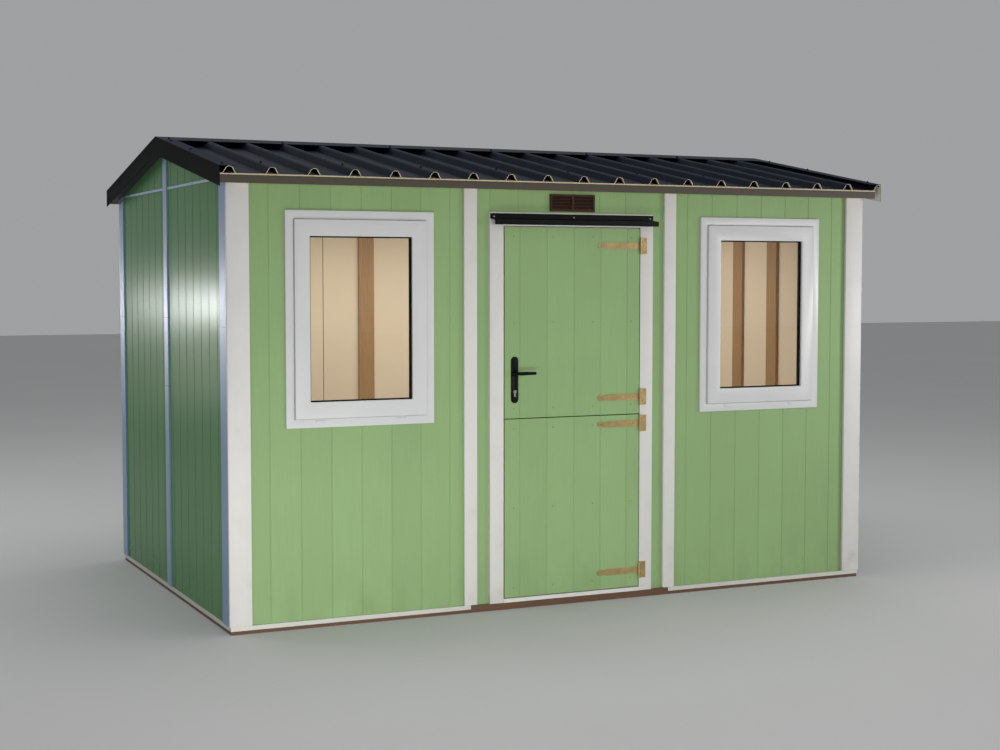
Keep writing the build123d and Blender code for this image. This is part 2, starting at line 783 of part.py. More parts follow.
rib_outer = rib_outline(0)
rib_hollow = rib_outline(roof_sheet_t)
for side, name in ((-1, "front"), (1, "back")):
    edge = side * (eave_y - fold_t)
    edge_top = eaves_z + fold_t * tan(pitch)
    with BuildPart() as roof_panel:
        side_profile(
            [
                (edge, roof_under(edge)), (edge, edge_top), (0, ridge_z), (0, roof_under(0)),
            ],
            core_span,
        )
    pieces[f"roof_panel_{name}"] = roof_panel
    across = Plane(
        origin=(0, side * eave_y, eaves_z),
        x_dir=(side, 0, 0),
        z_dir=(0, -side * cos(pitch), sin(pitch)),
    )
    slope = eave_y / cos(pitch) - roof_sheet_t
    with BuildPart() as roof_sheet:
        with BuildSketch(across):
            with Locations((0, roof_sheet_t / 2)):
                Rectangle(2 * core_x, roof_sheet_t)
            with Locations((side * rib_shift, 0)):
                with GridLocations(rib_pitch, 0, rib_count, 1):
                    add(rib_outer)
                    add(rib_hollow, mode=Mode.SUBTRACT)
            Rectangle(2 * core_x, 2 * rib_h, mode=Mode.INTERSECT)
        extrude(amount=slope)
    pieces[f"roof_sheet_{name}"] = roof_sheet

rise = rib_h / cos(pitch)  # rib tops above the roof panels
with BuildPart() as ridge_cap:
    cap_z = ridge_z + rise
    flange_y = ridge_flange * cos(pitch)
    drop = ridge_flange * sin(pitch)
    cap_t = fold_t / cos(pitch)
    side_profile(
        [
            (-flange_y, cap_z - drop), (0, cap_z), (flange_y, cap_z - drop),
            (flange_y, cap_z - drop + cap_t), (0, cap_z + cap_t), (-flange_y, cap_z - drop + cap_t),
        ],
        (-core_x, core_x),
    )
pieces["ridge_cap"] = ridge_cap

for side, name in ((-1, "left"), (1, "right")):
    top_z = eaves_z + rise + cap_t
    apex_z = ridge_z + rise + cap_t
    cap_edge = eave_y - flange_y
    with BuildPart() as barge_flashing:
        side_profile(
            [
                (-eave_y, top_z), (0, apex_z), (eave_y, top_z), (eave_y, top_z - barge_h),
                (0, apex_z - barge_h), (-eave_y, top_z - barge_h),
            ],
            sorted((side * core_x, side * (core_x + fold_t))),
        )
        for slope_side in (-1, 1):
            side_profile(
                [
                    (slope_side * eave_y, top_z), (slope_side * flange_y, apex_z - drop),
                    (slope_side * flange_y, apex_z - drop - cap_t),
                    (slope_side * eave_y, top_z - cap_t),
                ],
                sorted((side * (core_x - barge_flange), side * core_x)),
            )
    pieces[f"barge_flashing_{name}"] = barge_flashing

with BuildPart() as eaves_flashings:
    for side in (-1, 1):
        face = eave_y
        back = eave_y - fold_t
        inner = back - eaves_return
        side_profile(
            [
                (side * face, roof_under(face) - cap_t), (side * face, eaves_z - eaves_hem_h),
                (side * (face + eaves_hem), eaves_z - eaves_hem_h),
                (side * (face + eaves_hem), eaves_z), (side * back, eaves_z),
                (side * back, roof_under(back)), (side * inner, roof_under(inner)),
                (side * inner, roof_under(inner) - cap_t),
            ],
            core_span,
        )
pieces["eaves_flashings"] = eaves_flashings

os.makedirs("parts", exist_ok=True)
for label, piece in pieces.items():
    piece.part.label = label
    export_step(piece.part, f"parts/{label}.step")
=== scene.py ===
"""Looks of the garden office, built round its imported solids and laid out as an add-on."""

from math import cos, pi, radians, sin, tan

import bmesh
import bpy
from bpy.props import FloatProperty, FloatVectorProperty, IntProperty, PointerProperty
from mathutils import Matrix, Vector


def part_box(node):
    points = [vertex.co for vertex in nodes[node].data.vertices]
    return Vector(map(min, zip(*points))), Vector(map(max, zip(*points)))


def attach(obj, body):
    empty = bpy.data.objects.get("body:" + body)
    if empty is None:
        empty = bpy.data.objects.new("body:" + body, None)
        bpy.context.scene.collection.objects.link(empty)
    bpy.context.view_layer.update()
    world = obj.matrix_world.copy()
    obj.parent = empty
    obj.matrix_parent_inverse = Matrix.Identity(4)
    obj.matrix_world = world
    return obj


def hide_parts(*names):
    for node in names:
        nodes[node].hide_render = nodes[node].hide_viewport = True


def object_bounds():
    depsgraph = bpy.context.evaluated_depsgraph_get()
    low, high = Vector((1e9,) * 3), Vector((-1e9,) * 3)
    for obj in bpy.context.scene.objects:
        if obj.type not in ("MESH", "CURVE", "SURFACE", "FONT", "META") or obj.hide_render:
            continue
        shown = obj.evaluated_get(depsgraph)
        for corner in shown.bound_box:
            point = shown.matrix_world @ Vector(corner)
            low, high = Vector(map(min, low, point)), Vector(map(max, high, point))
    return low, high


bl_info = {
    "name": "Garden office",
    "version": (1, 0, 0),
    "blender": (4, 5, 0),
    "location": "View3D > Sidebar > Garden office",
    "description": "Finishes, fittings and fixings of a timber and steel garden office",
    "category": "Object",
}

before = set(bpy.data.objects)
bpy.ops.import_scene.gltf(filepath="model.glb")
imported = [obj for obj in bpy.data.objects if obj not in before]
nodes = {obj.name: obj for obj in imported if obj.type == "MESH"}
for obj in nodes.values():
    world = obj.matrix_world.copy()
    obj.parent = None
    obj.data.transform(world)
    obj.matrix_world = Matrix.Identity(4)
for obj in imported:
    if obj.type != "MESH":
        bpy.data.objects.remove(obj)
cad_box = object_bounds()

FRONT = Vector((0, -1, 0))
BACK = Vector((0, 1, 0))


def corners(node):
    """Lowest and highest corner of a CAD node at rest, in metres."""
    low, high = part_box(node)
    return Vector(low), Vector(high)


# Places read from the solids
SIDE_X = cad_box[1].x
EAVES_Y = cad_box[1].y
FRAME_LOW = corners("window_frames")[0]
GLASS_LOW, GLASS_HIGH = corners("window_glass")
TOP_LOW, TOP_HIGH = corners("door_top_leaf")
BOTTOM_LOW, BOTTOM_HIGH = corners("door_bottom_leaf")
LEVER_LOW, LEVER_HIGH = corners("lever_handle")
PLATES_LOW, PLATES_HIGH = corners("handle_plates")
CAP_TOP = corners("ridge_cap")[1].z
BARGE_TOP = corners("barge_flashing_left")[1].z
EAVES_TOP = corners("eaves_flashings")[1].z
LEAF_FACE = TOP_LOW.y
LEAF_GAP = TOP_LOW.z - BOTTOM_HIGH.z
HANDLE_X = (PLATES_LOW.x + PLATES_HIGH.x) / 2

# Sizes and places that the solids were made with, in metres
BAY = 1.15
BOARD = 0.155
FIRST_JOINT = 0.115  # from the edge of a bay to its first board joint
WALL_FOOT = 0.04
HANDLE_Z = 1.2
HINGE_X = 0.3915  # pins, from the middle of the door
STRAP_HALF = 0.0165  # half the height of a strap
RIB_PITCH = 0.2043
RIB_SHIFT = 0.013  # the middle rib lies this far right of the middle
RIBS = [RIB_SHIFT + RIB_PITCH * step for step in range(-9, 9)]
ROOF_PITCH = radians(10.3)
CAP_SHEET = 0.002
HEM = 0.005  # height of the pale edge along the eaves

# Butt joints in the upright aluminium, by height
ANGLE_JOINTS = (1.451,)
STRIP_JOINTS = (1.471, 1.109)
JOINT_LINE = 0.0028

# Screws: across from the middle of the door, along a strap from its hinge, or by height
LEAF_SCREWS = (-0.338, -0.115, 0.115, 0.341)
LEAF_SCREW_INSET = 0.048
JAMB_SCREW_X = 0.431
JAMB_SCREWS = (0.3, 0.52, 0.99, 1.45, 1.86)
STRAP_SCREWS = (0.0395, 0.1235, 0.2305)
PLATE_SCREWS = ((0.0115, 0.022), (0.0275, 0.032), (0.0115, -0.022), (0.0275, -0.032))
BAR_SCREWS = (-0.448, 0.001, 0.45)
BAR_SCREW_Z = 1.9875
# How far the middle of a head lies in front of the boards
ON_BOARDS, ON_STRAP, ON_BAR = 0.0002, 0.0033, 0.0022
# Screws of the roof, by their distance from the ridge
RIB_SCREW_Y = 1.06
CAP_SCREW_Y = 0.118
BARGE_SCREWS = (0.21, 0.60, 1.163)
BARGE_X = 1.838  # their line on each slope flashing

# Lamps: place, aim, size, watts, tint and spread in degrees
WHITE = (1, 1, 1)
LAMPS = {
    "key": ((-1.2, -9.2, 1.6), (0, -1, 1.0), (3.6, 1.5), 51, WHITE, 90),
    "right": ((8.4, -9.0, 1.45), (1.5, -1, 1.1), (1.6, 1.6), 48, WHITE, 90),
    "low": ((-1.8, -3.0, 0.12), (-1.4, -1.1, 0.7), (3.0, 0.2), 24, WHITE, 180),
    "top": ((0, 0.5, 8.5), (0, 0.5, 0), (7, 6), 260, WHITE, 180),
    "side": ((-7.5, 4.5, 3.6), (-1.8, 0.4, 1.1), (3, 2), 66, (0.95, 0.99, 1), 180),
    "room": ((0, 0, 2.12), (0, 0, 0), (2.4, 0.9), 38, (1, 0.955, 0.89), 180),
    "strip": ((-4.7, 8.6, 1.39), (-1.8, 0, 1.54), (0.6, 0.14), 2.15, WHITE, 50),
    "tail": ((-4.7, 8.6, 0.72), (-1.8, 0, 1.1), (0.8, 0.8), 0.42, (1, 0.98, 0.84), 50),
    "glow": ((2.95, -2.25, 1.55), (1.78, -1.15, 1.55), (0.3, 0.3), 9, WHITE, 180),
}
SURROUNDINGS = 0.36
CAMERA_PLACE = (-3.900, -8.574, 1.686)
CAMERA_TILT, CAMERA_TURN = 86.567, -25.1475
CAMERA_LENS, CAMERA_SENSOR = 58.865, 36


def colour(title, text, red, green, blue):
    """A colour setting, given as it looks on screen."""
    return FloatVectorProperty(
        name=title, description=text, subtype="COLOR_GAMMA", size=3, min=0, max=1,
        default=(red / 255, green / 255, blue / 255),
    )


def length(title, text, value):
    """A size setting in metres."""
    return FloatProperty(name=title, description=text, default=value, min=0, unit="LENGTH")


def share(title, text, value):
    """A setting from 0 to 1."""
    return FloatProperty(
        name=title, description=text, default=value, min=0, max=1, subtype="FACTOR"
    )


class WallSettings(bpy.types.PropertyGroup):
    """Colours and sizes of the walls and their covers."""

    board_green: colour("Board green", "Paint of the front boards and leaves", 134, 162, 111)
    steel_green: colour("Steel green", "Coating of the side and back panels", 90, 133, 88)
    lining: colour("Lining", "Cream inner faces", 226, 211, 189)
    white_paint: colour("White paint", "Corner, joint and door boards", 205, 203, 199)
    angles: colour("Angles", "Aluminium angles at the corners", 119, 146, 178)
    strips: colour("Strips", "Aluminium strips over the upright joints", 129, 153, 179)
    bands: colour("Bands", "Strips under the gables", 150, 173, 190)
    flashing: colour("Flashing", "Drips under the walls", 196, 196, 188)
    board_tone: share("Board tone", "How far one board differs from the next", 0.16)
    edge: length("Edge", "Softened edge of the white boards", 0.0018)


class TimberSettings(bpy.types.PropertyGroup):
    """Colours of the bare timber."""

    treated: colour("Treated timber", "Sole timbers and joists", 96, 69, 48)
    framing: colour("Framing", "Posts, plates and rafters", 168, 130, 86)
    deck: colour("Deck", "Floor deck", 104, 74, 50)


class RoofSettings(bpy.types.PropertyGroup):
    """Colours and sizes of the roof."""

    sheet: colour("Sheet", "Weather face of the ribbed sheets", 18, 26, 37)
    underside: colour("Underside", "Back coat and cut edges", 214, 204, 178)
    barge_back: colour("Barge back", "Inner side of the slope flashings", 222, 218, 208)
    barge: colour("Barge", "Slope flashings", 12, 16, 12)
    # Painted light: set lighter than the barge colour, for the flashings' upward faces as lit
    # from above.
    lit_flange: colour("Flange", "Upper side of the slope flashings", 34, 38, 46)
    eaves: colour("Eaves", "Flashings along the eaves", 77, 71, 61)
    hem: colour("Hem", "Folded edge of the eaves flashings", 199, 183, 152)
    screw_head: length("Screw head", "Across the flats of a roof screw", 0.008)
    washer: length("Washer", "Radius of a roof screw's washer", 0.0085)


class JoinerySettings(bpy.types.PropertyGroup):
    """Colours and sizes of the windows and the door."""

    plastic: colour("Plastic", "Window frames and sashes", 197, 198, 197)
    gasket: colour("Gasket", "Rubber round the glass", 9, 9, 10)
    zinc: colour("Zinc", "Yellow plated hinges", 178, 154, 104)
    powder: colour("Powder coat", "Handle plates, lever and weatherbar", 7, 7, 7)
    vent: colour("Vent", "Moulded vent", 62, 44, 36)
    nickel: colour("Nickel", "Lock cylinder", 178, 174, 166)
    screw_steel: colour("Screw steel", "Screws of the hinges", 150, 128, 92)
    # Set darker than the board green, as painted shade in the sunk heads and drives.
    screw_green_with_shade: colour("Painted screws", "Sunk screws of the door leaves", 96, 122, 78)
    pale_steel: colour("Pale steel", "Screws of the weatherbar", 205, 205, 202)
    frame_edge: length("Frame edge", "Rounded edge of the window frames", 0.003)
    gasket_width: length("Gasket width", "Width of the rubber round the glass", 0.006)
    gasket_reach: length("Gasket reach", "How far the rubber stands off the glass", 0.004)
    leaf_seal: length("Leaf seal", "Drop of the rubber under the top leaf", 0.0034)
    frame_seal: length("Frame seal", "Thickness of the rubber in the door frame", 0.0015)
    spacer_width: length("Spacer width", "Width of the bar between the two panes", 0.008)
    screw_radius: length("Screw radius", "Head of a countersunk screw", 0.0045)
    bar_screw: length("Weatherbar screw", "Head of a weatherbar screw", 0.0042)
    lever_sides: IntProperty(
        name="Lever sides", description="Sides of the round lever", default=24, min=8, max=64
    )


def linear(tone):
    """A screen colour as light, as the shader wants it."""
    return tuple(c / 12.92 if c < 0.04045 else ((c + 0.055) / 1.055) ** 2.4 for c in tone)


def shaded(tone, by):
    """A colour made darker or lighter by a factor."""
    return tuple(min(1.0, c * by) for c in tone)


class Signal:
    """An output of a finish's nodes. Sums on it add Math nodes."""

    def __init__(self, finish, socket):
        self.finish = finish
        self.socket = socket

    def math(self, operation, *values):
        return self.finish.node(
            "ShaderNodeMath", {"operation": operation}, dict(enumerate(values))
        )

    def __add__(self, other):
        return self.math("ADD", self, other)

    def __sub__(self, other):
        return self.math("SUBTRACT", self, other)

    def __rsub__(self, other):
        return self.math("SUBTRACT", other, self)

    def __mul__(self, other):
        return self.math("MULTIPLY", self, other)

    def __truediv__(self, other):
        return self.math("DIVIDE", self, other)

    def __gt__(self, other):
        return self.math("GREATER_THAN", self, other)

    def __lt__(self, other):
        return self.math("LESS_THAN", self, other)

    def floor(self):
        return self.math("FLOOR", self)

    def part(self):
        """What is left after the whole number."""
        return self.math("FRACT", self)

    def size(self):
        return self.math("ABSOLUTE", self)

    def rise(self, start, end):
        """From 0 at one value to 1 at another, smoothly."""
        return self.finish.node(
            "ShaderNodeMapRange", {"interpolation_type": "SMOOTHSTEP"},
            {"Value": self, "From Min": start, "From Max": end},
        )


class Finish:
    """A material in the making, with the few moves that every finish uses."""

    def __init__(self, name):
        self.material = bpy.data.materials.new(name)
        self.material.use_nodes = True
        self.tree = self.material.node_tree
        self.shader = self.tree.nodes["Principled BSDF"]
        self.place = self.node("ShaderNodeTexCoord", out="Object")
        spot = self.tree.nodes.new("ShaderNodeSeparateXYZ")
        self.tree.links.new(self.place.socket, spot.inputs[0])
        self.x, self.y, self.z = (Signal(self, output) for output in spot.outputs)

    def feed(self, socket, value):
        """Links a signal to a socket, or sets a plain value on it."""
        if isinstance(value, Signal):
            self.tree.links.new(value.socket, socket)
        elif isinstance(value, tuple) and socket.type == "RGBA":
            socket.default_value = (*value, 1)
        else:
            socket.default_value = value

    def node(self, kind, settings=None, values=None, out=0):
        """Adds a node, fills its sockets and gives one of its outputs."""
        made = self.tree.nodes.new(kind)
        for key, value in (settings or {}).items():
            setattr(made, key, value)
        for key, value in (values or {}).items():
            self.feed(made.inputs[key], value)
        return Signal(self, made.outputs[out])

    def mix(self, first, second, factor):
        """One colour turning into another."""
        return self.node(
            "ShaderNodeMix", {"data_type": "RGBA"}, {0: factor, 6: first, 7: second}, out=2
        )

    def noise(self, scale, detail=3.0, stretch=(1, 1, 1), shift=(0, 0, 0), rough=0.5):
        """Cloudy pattern from 0 to 1, drawn out along an axis by a small stretch."""
        spot = self.node(
            "ShaderNodeMapping", None,
            {"Vector": self.place, "Scale": stretch, "Location": shift},
        )
        return self.node(
            "ShaderNodeTexNoise", None,
            {"Vector": spot, "Scale": scale, "Detail": detail, "Roughness": rough},
        )

    def chance(self, key):
        """One even number from 0 to 1 for each whole number."""
        return self.node("ShaderNodeTexWhiteNoise", {"noise_dimensions": "1D"}, {"W": key})

    def set(self, **sockets):
        """Sets or links the shader's sockets by name, with _ for a space."""
        for name, value in sockets.items():
            self.feed(self.shader.inputs[name.replace("_", " ")], value)

    def bump(self, height, depth, strength):
        """Raises the surface in the light, by a depth in metres."""
        normal = self.node(
            "ShaderNodeBump", None,
            {"Height": height, "Distance": depth, "Strength": strength},
        )
        self.set(Normal=normal)


# Stretch of a pattern that runs along an axis
GRAIN = {"X": (1, 22, 22), "Y": (22, 1, 22), "Z": (22, 22, 1)}


def board_paint(name, green, tone_share):
    """Matt paint on boards: each board has its own tone, and its grain shows faintly."""
    f = Finish(name)
    green = linear(green)
    bays = (f.x + 1.5 * BAY) / BAY
    board = ((bays.part() * BAY - FIRST_JOINT) / BOARD).floor() + bays.floor() * 11
    own = f.chance(board)
    shift = f.node("ShaderNodeCombineXYZ", None, {"X": own * 3, "Z": own * 9})
    spot = f.node("ShaderNodeVectorMath", {"operation": "ADD"}, {0: f.place, 1: shift})
    fine = f.node("ShaderNodeMapping", None, {"Vector": spot, "Scale": (95, 95, 3.2)})
    fibres = f.node(
        "ShaderNodeTexNoise", None,
        {"Vector": fine, "Scale": 1.6, "Detail": 4, "Roughness": 0.6, "Distortion": 0.4},
    )
    cloud = f.noise(2.1, 3)
    tone = own * tone_share + fibres * 0.4 + cloud * 0.45
    face = f.mix(shaded(green, 0.89), shaded(green, 1.12), tone.rise(0.1, 0.95))
    splash = f.noise(9, 5, (1, 1, 0.6))
    damp = (1 - (f.z - WALL_FOOT).rise(0.0, 0.32)) * splash.rise(0.35, 0.8) * 0.35
    worn = f.mix(face, shaded(green, 0.62), damp)
    # Painted shade: the boards turn darker in patches towards the top, under the eaves.
    dust_and_shade = (f.z.rise(1.95, 2.15)) * f.noise(6, 4).rise(0.4, 0.8) * 0.22
    f.set(
        Base_Color=f.mix(worn, shaded(green, 0.7), dust_and_shade),
        Roughness=fibres * 0.16 + cloud * 0.1 + 0.44,
        Specular_IOR_Level=0.25,
    )
    f.bump(fibres + f.noise(260, 2) * 0.25, 0.0006, 0.55)
    return f.material


def coated_steel(name, green, inner):
    """Glossy coated steel with faint waves, and a cream coat on the faces in the room."""
    f = Finish(name)
    green = linear(green)
    inner = linear(inner)
    cloud = f.noise(1.3, 2)
    film = f.noise(46, 2, (1, 1, 0.15))
    face = f.mix(shaded(green, 0.93), shaded(green, 1.07), cloud * 0.7 + film * 0.3)
    splash = f.noise(14, 5)
    dirt = (1 - (f.z - WALL_FOOT).rise(0.0, 0.22)) * splash.rise(0.42, 0.75) * 0.4
    low, high = corners("floor_deck")
    indoors = (f.x.size() < high.x + 0.002) * (f.y < high.y + 0.002) * (f.y > low.y - 0.002)
    outer = f.mix(face, (0.12, 0.1, 0.075), dirt)
    coat = f.mix(shaded(inner, 0.94), shaded(inner, 1.04), cloud)
    f.set(
        Base_Color=f.mix(outer, coat, indoors),
        Roughness=cloud * 0.05 + film * 0.04 + dirt * 0.3 + 0.19,
        Specular_IOR_Level=0.04,
    )
    f.bump(f.noise(3.5, 2, (1, 1, 0.5)) + f.noise(180, 1) * 0.02, 0.0022, 0.5)
    return f.material


def white_paint(name, white, along="Z"):
    """White painted board: faint grain, a little grime low down and in patches."""
    f = Finish(name)
    white = linear(white)
    fibres = f.noise(4.5, 4, GRAIN[along], rough=0.6)
    cloud = f.noise(3.2, 4)
    face = f.mix(shaded(white, 0.93), shaded(white, 1.04), fibres * 0.6 + cloud * 0.4)
    grime = (1 - (f.z - WALL_FOOT).rise(0.0, 0.5)) * 0.3 + 0.12
    patch = grime * f.noise(7, 5).rise(0.45, 0.8)
    f.set(
        Base_Color=f.mix(face, (0.34, 0.31, 0.26), patch),
        Roughness=fibres * 0.14 + 0.42,
    )
    f.bump(fibres + f.noise(220, 2) * 0.2, 0.0005, 0.5)
    return f.material


def timber(name, tone, along):
    """Bare softwood with its grain along one axis."""
    f = Finish(name)
    tone = linear(tone)
    sway = f.noise(1.1, 2, GRAIN[along])
    rings = f.noise(3.4, 5, GRAIN[along], rough=0.62)
    lines = ((rings * 5 + sway * 4).part() - 0.5).size() * 2
    cloud = f.noise(2.5, 3)
    late = f.mix(shaded(tone, 0.66), shaded(tone, 1.16), lines * 0.5 + rings * 0.5)
    knots = f.noise(5.5, 2, tuple(0.25 + v / 12 for v in GRAIN[along])).rise(0.68, 0.8)
    f.set(
        Base_Color=f.mix(late, shaded(tone, 0.42), knots * 0.5 + cloud * 0.08),
        Roughness=lines * 0.12 + 0.6,
    )
    f.bump(lines * 0.4 + rings, 0.0008, 0.5)
    return f.material


def lining_coat(name, tone, edge):
    """Smooth cream coat on the inner faces; the ends past the walls get a dark colour as
    painted shade under the roof's overhang.
    """
    f = Finish(name)
    tone = linear(tone)
    edge = linear(edge)
    cloud = f.noise(2.4, 3)
    speck = f.noise(320, 1)
    skin = f.mix(shaded(tone, 0.93), shaded(tone, 1.05), cloud)
    # Painted shade: the lining's ends past the side walls, under the roof's overhang, take the
    # dark edge colour.
    past = f.x.size() > corners("side_wall_right")[1].x + 0.0005
    f.set(
        Base_Color=f.mix(skin, f.mix(shaded(edge, 0.8), shaded(edge, 1.2), cloud), past),
        Roughness=cloud * 0.12 + speck * 0.08 + 0.42,
    )
    f.bump(speck, 0.0003, 0.4)
    return f.material


def roof_coat(name, tone, back):
    """Dark coat on the weather face, and a pale one on the cut edge, which turns dark further
    in as painted shade in the hollows of the ribs.
    """
    f = Finish(name)
    tone, back = linear(tone), linear(back)
    normal = f.node("ShaderNodeNewGeometry", out="True Normal")
    lift = f.node("ShaderNodeSeparateXYZ", None, {0: normal}, out=2)
    cloud = f.noise(2.2, 3)
    streak = f.noise(3.5, 4, (9, 0.8, 0.8))
    speck = f.noise(420, 1)
    face = f.mix(shaded(tone, 0.84), shaded(tone, 1.2), cloud * 0.5 + streak * 0.5)
    dust_and_shade = streak.rise(0.5, 0.85) * 0.1
    weather = f.mix(face, (0.16, 0.16, 0.15), dust_and_shade)
    # Painted shade: downward faces more than a few millimetres in from the eaves take a darker
    # copy of the weather coat, as shade in the rib hollows.
    hollow_shade = (EAVES_Y - f.y.size()).rise(0.004, 0.022) * (lift < -0.1)
    rim = f.mix(shaded(back, 0.88), shaded(back, 1.05), cloud)
    f.set(
        Base_Color=f.mix(weather, f.mix(rim, shaded(tone, 0.7), hollow_shade), lift < 0.1),
        Roughness=cloud * 0.12 + streak * 0.1 + 0.36,
        Specular_IOR_Level=0.05,
    )
    f.bump(speck * 0.12 + f.noise(5, 2, (3, 0.6, 1)), 0.0012, 0.45)
    return f.material


def eaves_coat(name, tone, hem):
    """Folded eaves flashing, with a pale hem along its top."""
    f = Finish(name)
    tone, hem = linear(tone), linear(hem)
    cloud = f.noise(2.8, 3)
    streak = f.noise(6, 4, (0.5, 3, 3))
    face = f.mix(shaded(tone, 0.87), shaded(tone, 1.15), cloud * 0.5 + streak * 0.5)
    band = (f.z > EAVES_TOP - HEM) * (f.z < EAVES_TOP)
    edge = f.mix(shaded(hem, 0.8), shaded(hem, 1.04), f.noise(9, 4, (1, 4, 4)))
    f.set(
        Base_Color=f.mix(face, edge, band),
        Roughness=cloud * 0.12 + streak * 0.1 + 0.36,
        Specular_IOR_Level=0.2,
    )
    f.bump(streak + f.noise(300, 1) * 0.1, 0.0006, 0.4)
    return f.material


def barge_coat(name, tone, top, back):
    """Dark barge flashing, with painted light on its upward faces in a tone near the roof's,
    and a pale inner side.
    """
    f = Finish(name)
    tone, top, back = linear(tone), linear(top), linear(back)
    normal = f.node("ShaderNodeNewGeometry", out="True Normal")
    across = f.node("ShaderNodeSeparateXYZ", None, {0: normal}, out=0)
    lift = f.node("ShaderNodeSeparateXYZ", None, {0: normal}, out=2)
    band = (f.x.size() < SIDE_X - 0.001) * (f.x.size() > SIDE_X - 0.008)
    inner = ((across * f.x) < -0.5) * band
    cloud = f.noise(3, 3)
    face = f.mix(shaded(tone, 0.85), shaded(tone, 1.2), cloud)
    # Painted light: the upward faces take a lighter colour than the sides, as if lit from
    # above.
    sheet = f.mix(shaded(top, 1.1), shaded(top, 1.5), cloud)
    outer = f.mix(face, sheet, lift > 0.6)
    f.set(
        Base_Color=f.mix(outer, back, inner),
        Roughness=cloud * 0.14 + 0.42,
        Specular_IOR_Level=0.008,
    )
    f.bump(f.noise(4, 3) + f.noise(300, 1) * 0.1, 0.0008, 0.4)
    return f.material


def drawn_metal(name, tone, along, metal, rough, joints=()):
    """Drawn or rolled metal with fine lines along one axis, and butt joints by height."""
    f = Finish(name)
    tone = linear(tone)
    lines = f.noise(9, 3, GRAIN[along], rough=0.7)
    cloud = f.noise(3, 3)
    face = f.mix(shaded(tone, 0.86), shaded(tone, 1.12), lines * 0.5 + cloud * 0.5)
    for height in joints:
        face = f.mix(face, shaded(tone, 0.25), (f.z - height).size() < JOINT_LINE / 2)
    f.set(
        Base_Color=face,
        Roughness=lines * 0.16 + cloud * 0.1 + rough - 0.12,
        Specular_IOR_Level=0.35,
        Metallic=metal,
    )
    f.bump(lines, 0.0002, 0.4)
    return f.material


def moulded(name, tone, rough, gloss=0.4):
    """Moulded plastic or rubber with a very fine skin."""
    f = Finish(name)
    tone = linear(tone)
    cloud = f.noise(6, 3)
    skin = f.noise(520, 2)
    f.set(
        Base_Color=f.mix(shaded(tone, 0.93), shaded(tone, 1.06), cloud * 0.7 + skin * 0.3),
        Roughness=cloud * 0.1 + skin * 0.08 + rough - 0.09,
        Specular_IOR_Level=gloss,
    )
    f.bump(skin, 0.0003, 0.4)
    return f.material


def powder_coat(name, tone):
    """Satin black powder coat with its orange peel."""
    f = Finish(name)
    tone = linear(tone)
    peel = f.noise(900, 2)
    cloud = f.noise(12, 3)
    f.set(
        Base_Color=f.mix(shaded(tone, 0.8), shaded(tone, 1.35), cloud * 0.6 + peel * 0.4),
        Roughness=peel * 0.1 + cloud * 0.12 + 0.34,
        Specular_IOR_Level=0.15,
    )
    f.bump(peel, 0.0003, 0.5)
    return f.material


def yellow_zinc(name, tone):
    """Yellow passivated steel, patchy from gold to rose and olive."""
    f = Finish(name)
    tone = linear(tone)
    cloud = f.noise(22, 4)
    other = f.noise(31, 3, shift=(3, 1, 7))
    gold = f.mix(shaded(tone, 0.72), shaded(tone, 1.1), cloud)
    rose = f.mix(gold, (0.62, 0.4, 0.3), other.rise(0.52, 0.75) * 0.35)
    f.set(
        Base_Color=f.mix(rose, (0.4, 0.44, 0.2), (1 - other).rise(0.55, 0.8) * 0.25),
        Roughness=cloud * 0.2 + 0.24,
        Metallic=0.72,
    )
    f.bump(f.noise(160, 3), 0.0003, 0.4)
    return f.material


def pane(name):
    """Clear glass, faintly green, with a little haze."""
    f = Finish(name)
    haze = f.noise(3, 4).rise(0.5, 0.9)
    f.set(
        Base_Color=f.mix((0.93, 0.965, 0.945), (0.89, 0.93, 0.91), haze),
        Roughness=haze * 0.015,
        Transmission_Weight=1.0,
        IOR=1.45,
    )
    return f.material


def finish_nodes(material, *names):
    """Gives CAD nodes their finish."""
    for name in names:
        for slot in nodes[name].material_slots:
            slot.material = material


def add_piece(name, shape, material, body, slot, *stands_for):
    """Makes a piece of a finished shape, which rides on a body and may stand for CAD nodes."""
    data = bpy.data.meshes.new(name)
    shape.to_mesh(data)
    shape.free()
    data.materials.append(material)
    data.shade_smooth()
    data.set_sharp_from_angle(angle=radians(32))
    thing = bpy.data.objects.new(name, data)
    bpy.context.scene.collection.objects.link(thing)
    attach(thing, body)
    if stands_for:
        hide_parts(*stands_for)


def softened(node, name, material, body, slot, width, steps=2):
    """Copy of a node with its edges rounded, which then stands for it."""
    shape = bmesh.new()
    shape.from_mesh(nodes[node].data)
    bmesh.ops.remove_doubles(shape, verts=shape.verts, dist=1e-5)
    bmesh.ops.dissolve_limit(
        shape, angle_limit=radians(1), use_dissolve_boundaries=False,
        verts=shape.verts, edges=shape.edges,
    )
    sharp = [e for e in shape.edges if len(e.link_faces) == 2 and e.calc_face_angle() > 0.5]
    bmesh.ops.bevel(
        shape, geom=sharp, offset=width, offset_type="OFFSET", segments=steps,
        profile=0.5, affect="EDGES", material=-1, clamp_overlap=True,
    )
    add_piece(name, shape, material, body, slot, node)


def joined(parts):
    """One shape out of several, each added where it lies."""
    whole = bmesh.new()
    for part in parts:
        data = bpy.data.meshes.new("part")
        part.to_mesh(data)
        part.free()
        whole.from_mesh(data)
        bpy.data.meshes.remove(data)
    return whole


def turned(shape, place, axis):
    """Moves a shape that was made along Z to a place, so that it points along an axis."""
    turn = axis.to_track_quat("Z", "Y").to_matrix().to_4x4()
    bmesh.ops.transform(shape, matrix=Matrix.Translation(place) @ turn, verts=shape.verts)
    return shape


